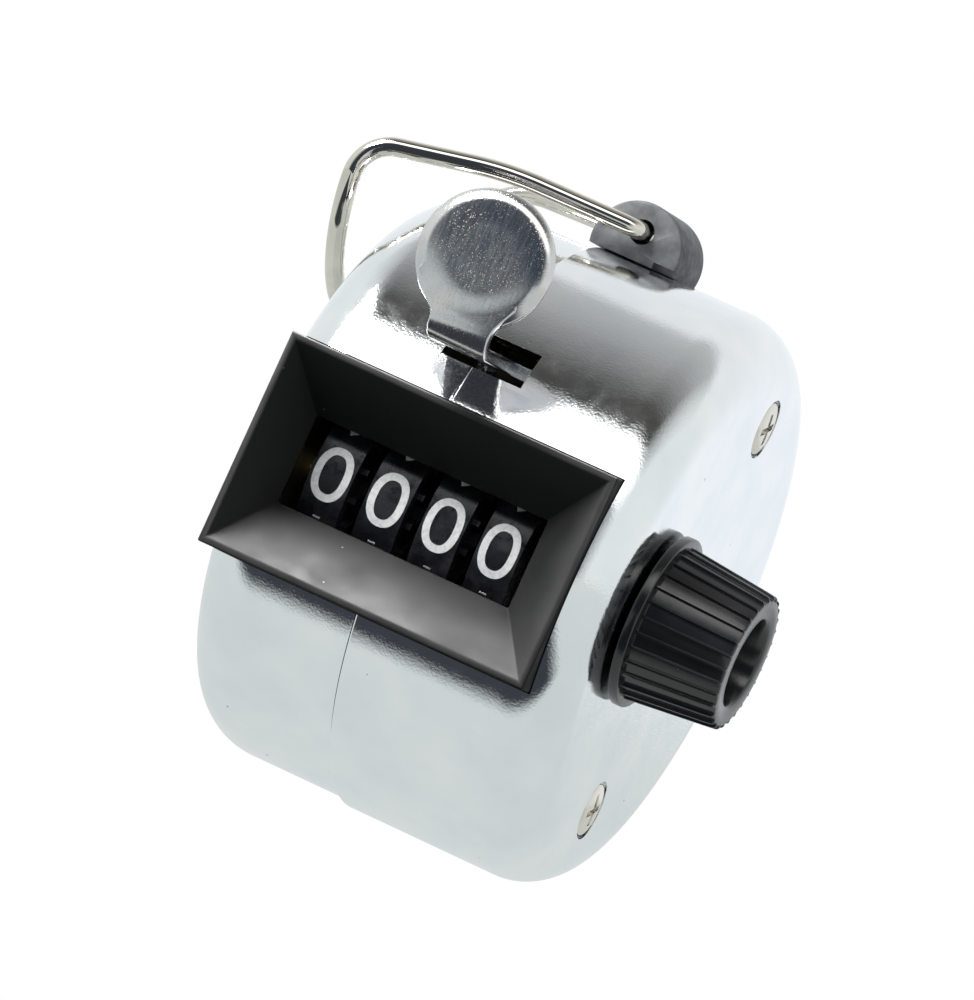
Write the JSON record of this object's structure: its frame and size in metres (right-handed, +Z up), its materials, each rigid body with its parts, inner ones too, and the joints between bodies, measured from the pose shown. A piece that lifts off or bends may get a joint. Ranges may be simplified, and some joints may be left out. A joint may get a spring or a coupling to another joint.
{
  "type": "hand tally counter",
  "caption": "Hand-held mechanical counter in a round metal case, with a thumb lever, number wheels behind a window, a reset knob and a folding wire finger loop.",
  "frame": {"origin": "on the drum's axis, in the plane of the seam between the two shells", "axes": "+X along the drum's axis towards the reset knob, -Y out of the number window, +Z up towards the thumb lever"},
  "size_m": [0.0441, 0.0499, 0.0505],
  "materials": {
    "chrome_case": "chrome plated sheet with a light orange peel",
    "black_gloss_plastic": "glossy moulded black",
    "black_knob_plastic": "satin moulded black",
    "black_wheel_plastic": "matt black with white figures",
    "pinion_plastic": "natural acetal",
    "zinc_plate": "zinc plated sheet",
    "turned_steel": "turned",
    "spring_steel": "bright spring steel",
    "brass_bush": "turned brass",
    "nickel_screw": "nickel plated",
    "nickel_wire": "nickel plated wire",
    "polished_lever_steel": "polished and plated steel sheet",
    "grey_block_plastic": "matt dark grey"
  },
  "bodies": {
    "case": {"left_shell": "chrome_case", "right_shell": "chrome_case", "window_frame": "black_gloss_plastic", "frame_plate_left": "zinc_plate", "frame_plate_right": "zinc_plate", "frame_posts": "turned_steel", "left_case_screws": "nickel_screw", "right_case_screws": "nickel_screw", "shaft_bush_left": "brass_bush", "shaft_bush_right": "brass_bush", "pinion_shaft": "turned_steel", "lever_pivot_pin": "turned_steel", "lever_return_spring": "spring_steel", "detent_spring": "spring_steel", "loop_block": "grey_block_plastic", "loop_block_clip": "spring_steel"},
    "reset_drive": {"reset_knob": "black_knob_plastic", "reset_shaft": "turned_steel", "shaft_clip": "spring_steel"},
    "thousands": {"thousands_wheel": "black_wheel_plastic", "thousands_reset_pawl": "brass_bush"},
    "hundreds": {"hundreds_wheel": "black_wheel_plastic", "hundreds_reset_pawl": "brass_bush"},
    "tens": {"tens_wheel": "black_wheel_plastic", "tens_reset_pawl": "brass_bush"},
    "ratchet": {"ratchet_wheel": "zinc_plate", "clutch_spring": "spring_steel"},
    "units": {"units_wheel": "black_wheel_plastic", "units_reset_pawl": "brass_bush"},
    "carry_to_thousands": {"thousands_pinion": "pinion_plastic"},
    "carry_to_hundreds": {"hundreds_pinion": "pinion_plastic"},
    "carry_to_tens": {"tens_pinion": "pinion_plastic"},
    "lever": {"count_lever": "polished_lever_steel", "pawl_pivot_pin": "turned_steel", "pawl_spring": "spring_steel"},
    "pawl": {"drive_pawl": "zinc_plate"},
    "loop": {"finger_loop": "nickel_wire"}
  },
  "joints": [
    {"name": "lever_press", "type": "hinge", "parent": "case", "child": "lever", "pos_m": [0.0117, -0.016, -0.0115], "axis": [-1, 0, 0], "range_deg": [0, 10], "stiffness_Nm_per_rad": 0.25, "springref_deg": -5.73},
    {"name": "reset_knob_turn", "type": "hinge", "parent": "case", "child": "reset_drive", "pos_m": [0, -0.009, -0.0008], "axis": [-1, 0, 0], "continuous": true},
    {"name": "loop_swing", "type": "hinge", "parent": "case", "child": "loop", "pos_m": [0.00265, 0.0013, 0.0252], "axis": [0, 1, 0], "range_deg": [-6, 180]},
    {"name": "ratchet_turn", "type": "hinge", "parent": "case", "child": "ratchet", "pos_m": [0.01, -0.009, -0.0008], "axis": [-1, 0, 0], "range_deg": [0, 36]},
    {"name": "pawl_swing", "type": "hinge", "parent": "lever", "child": "pawl", "pos_m": [0.01, -0.0155, 0.0065], "axis": [-1, 0, 0], "range_deg": [-13.5, 0]},
    {"name": "units_turn", "type": "hinge", "parent": "ratchet", "child": "units", "pos_m": [0.00685, -0.009, -0.0008], "axis": [-1, 0, 0], "continuous": true},
    {"name": "tens_turn", "type": "hinge", "parent": "case", "child": "tens", "pos_m": [0.0022, -0.009, -0.0008], "axis": [-1, 0, 0], "continuous": true},
    {"name": "hundreds_turn", "type": "hinge", "parent": "case", "child": "hundreds", "pos_m": [-0.00245, -0.009, -0.0008], "axis": [-1, 0, 0], "continuous": true},
    {"name": "thousands_turn", "type": "hinge", "parent": "case", "child": "thousands", "pos_m": [-0.0071, -0.009, -0.0008], "axis": [-1, 0, 0], "continuous": true},
    {"name": "tens_pinion_turn", "type": "hinge", "parent": "case", "child": "carry_to_tens", "pos_m": [0.00453, 0.00052, -0.0008], "axis": [-1, 0, 0], "continuous": true},
    {"name": "hundreds_pinion_turn", "type": "hinge", "parent": "case", "child": "carry_to_hundreds", "pos_m": [-0.00013, 0.00052, -0.0008], "axis": [-1, 0, 0], "continuous": true},
    {"name": "thousands_pinion_turn", "type": "hinge", "parent": "case", "child": "carry_to_thousands", "pos_m": [-0.00477, 0.00052, -0.0008], "axis": [-1, 0, 0], "continuous": true}
  ],
  "couplings": [
    {"joint": "ratchet_turn", "follows": "lever_press", "ratio": 3.6},
    {"joint": "pawl_swing", "follows": "lever_press", "ratio": -1.326},
    {"joint": "units_turn", "follows": "reset_knob_turn", "ratio": 1},
    {"joint": "tens_turn", "follows": "reset_knob_turn", "ratio": 1},
    {"joint": "hundreds_turn", "follows": "reset_knob_turn", "ratio": 1},
    {"joint": "thousands_turn", "follows": "reset_knob_turn", "ratio": 1},
    {"joint": "tens_pinion_turn", "follows": "reset_knob_turn", "ratio": -2.5},
    {"joint": "hundreds_pinion_turn", "follows": "reset_knob_turn", "ratio": -2.5},
    {"joint": "thousands_pinion_turn", "follows": "reset_knob_turn", "ratio": -2.5}
  ]
}
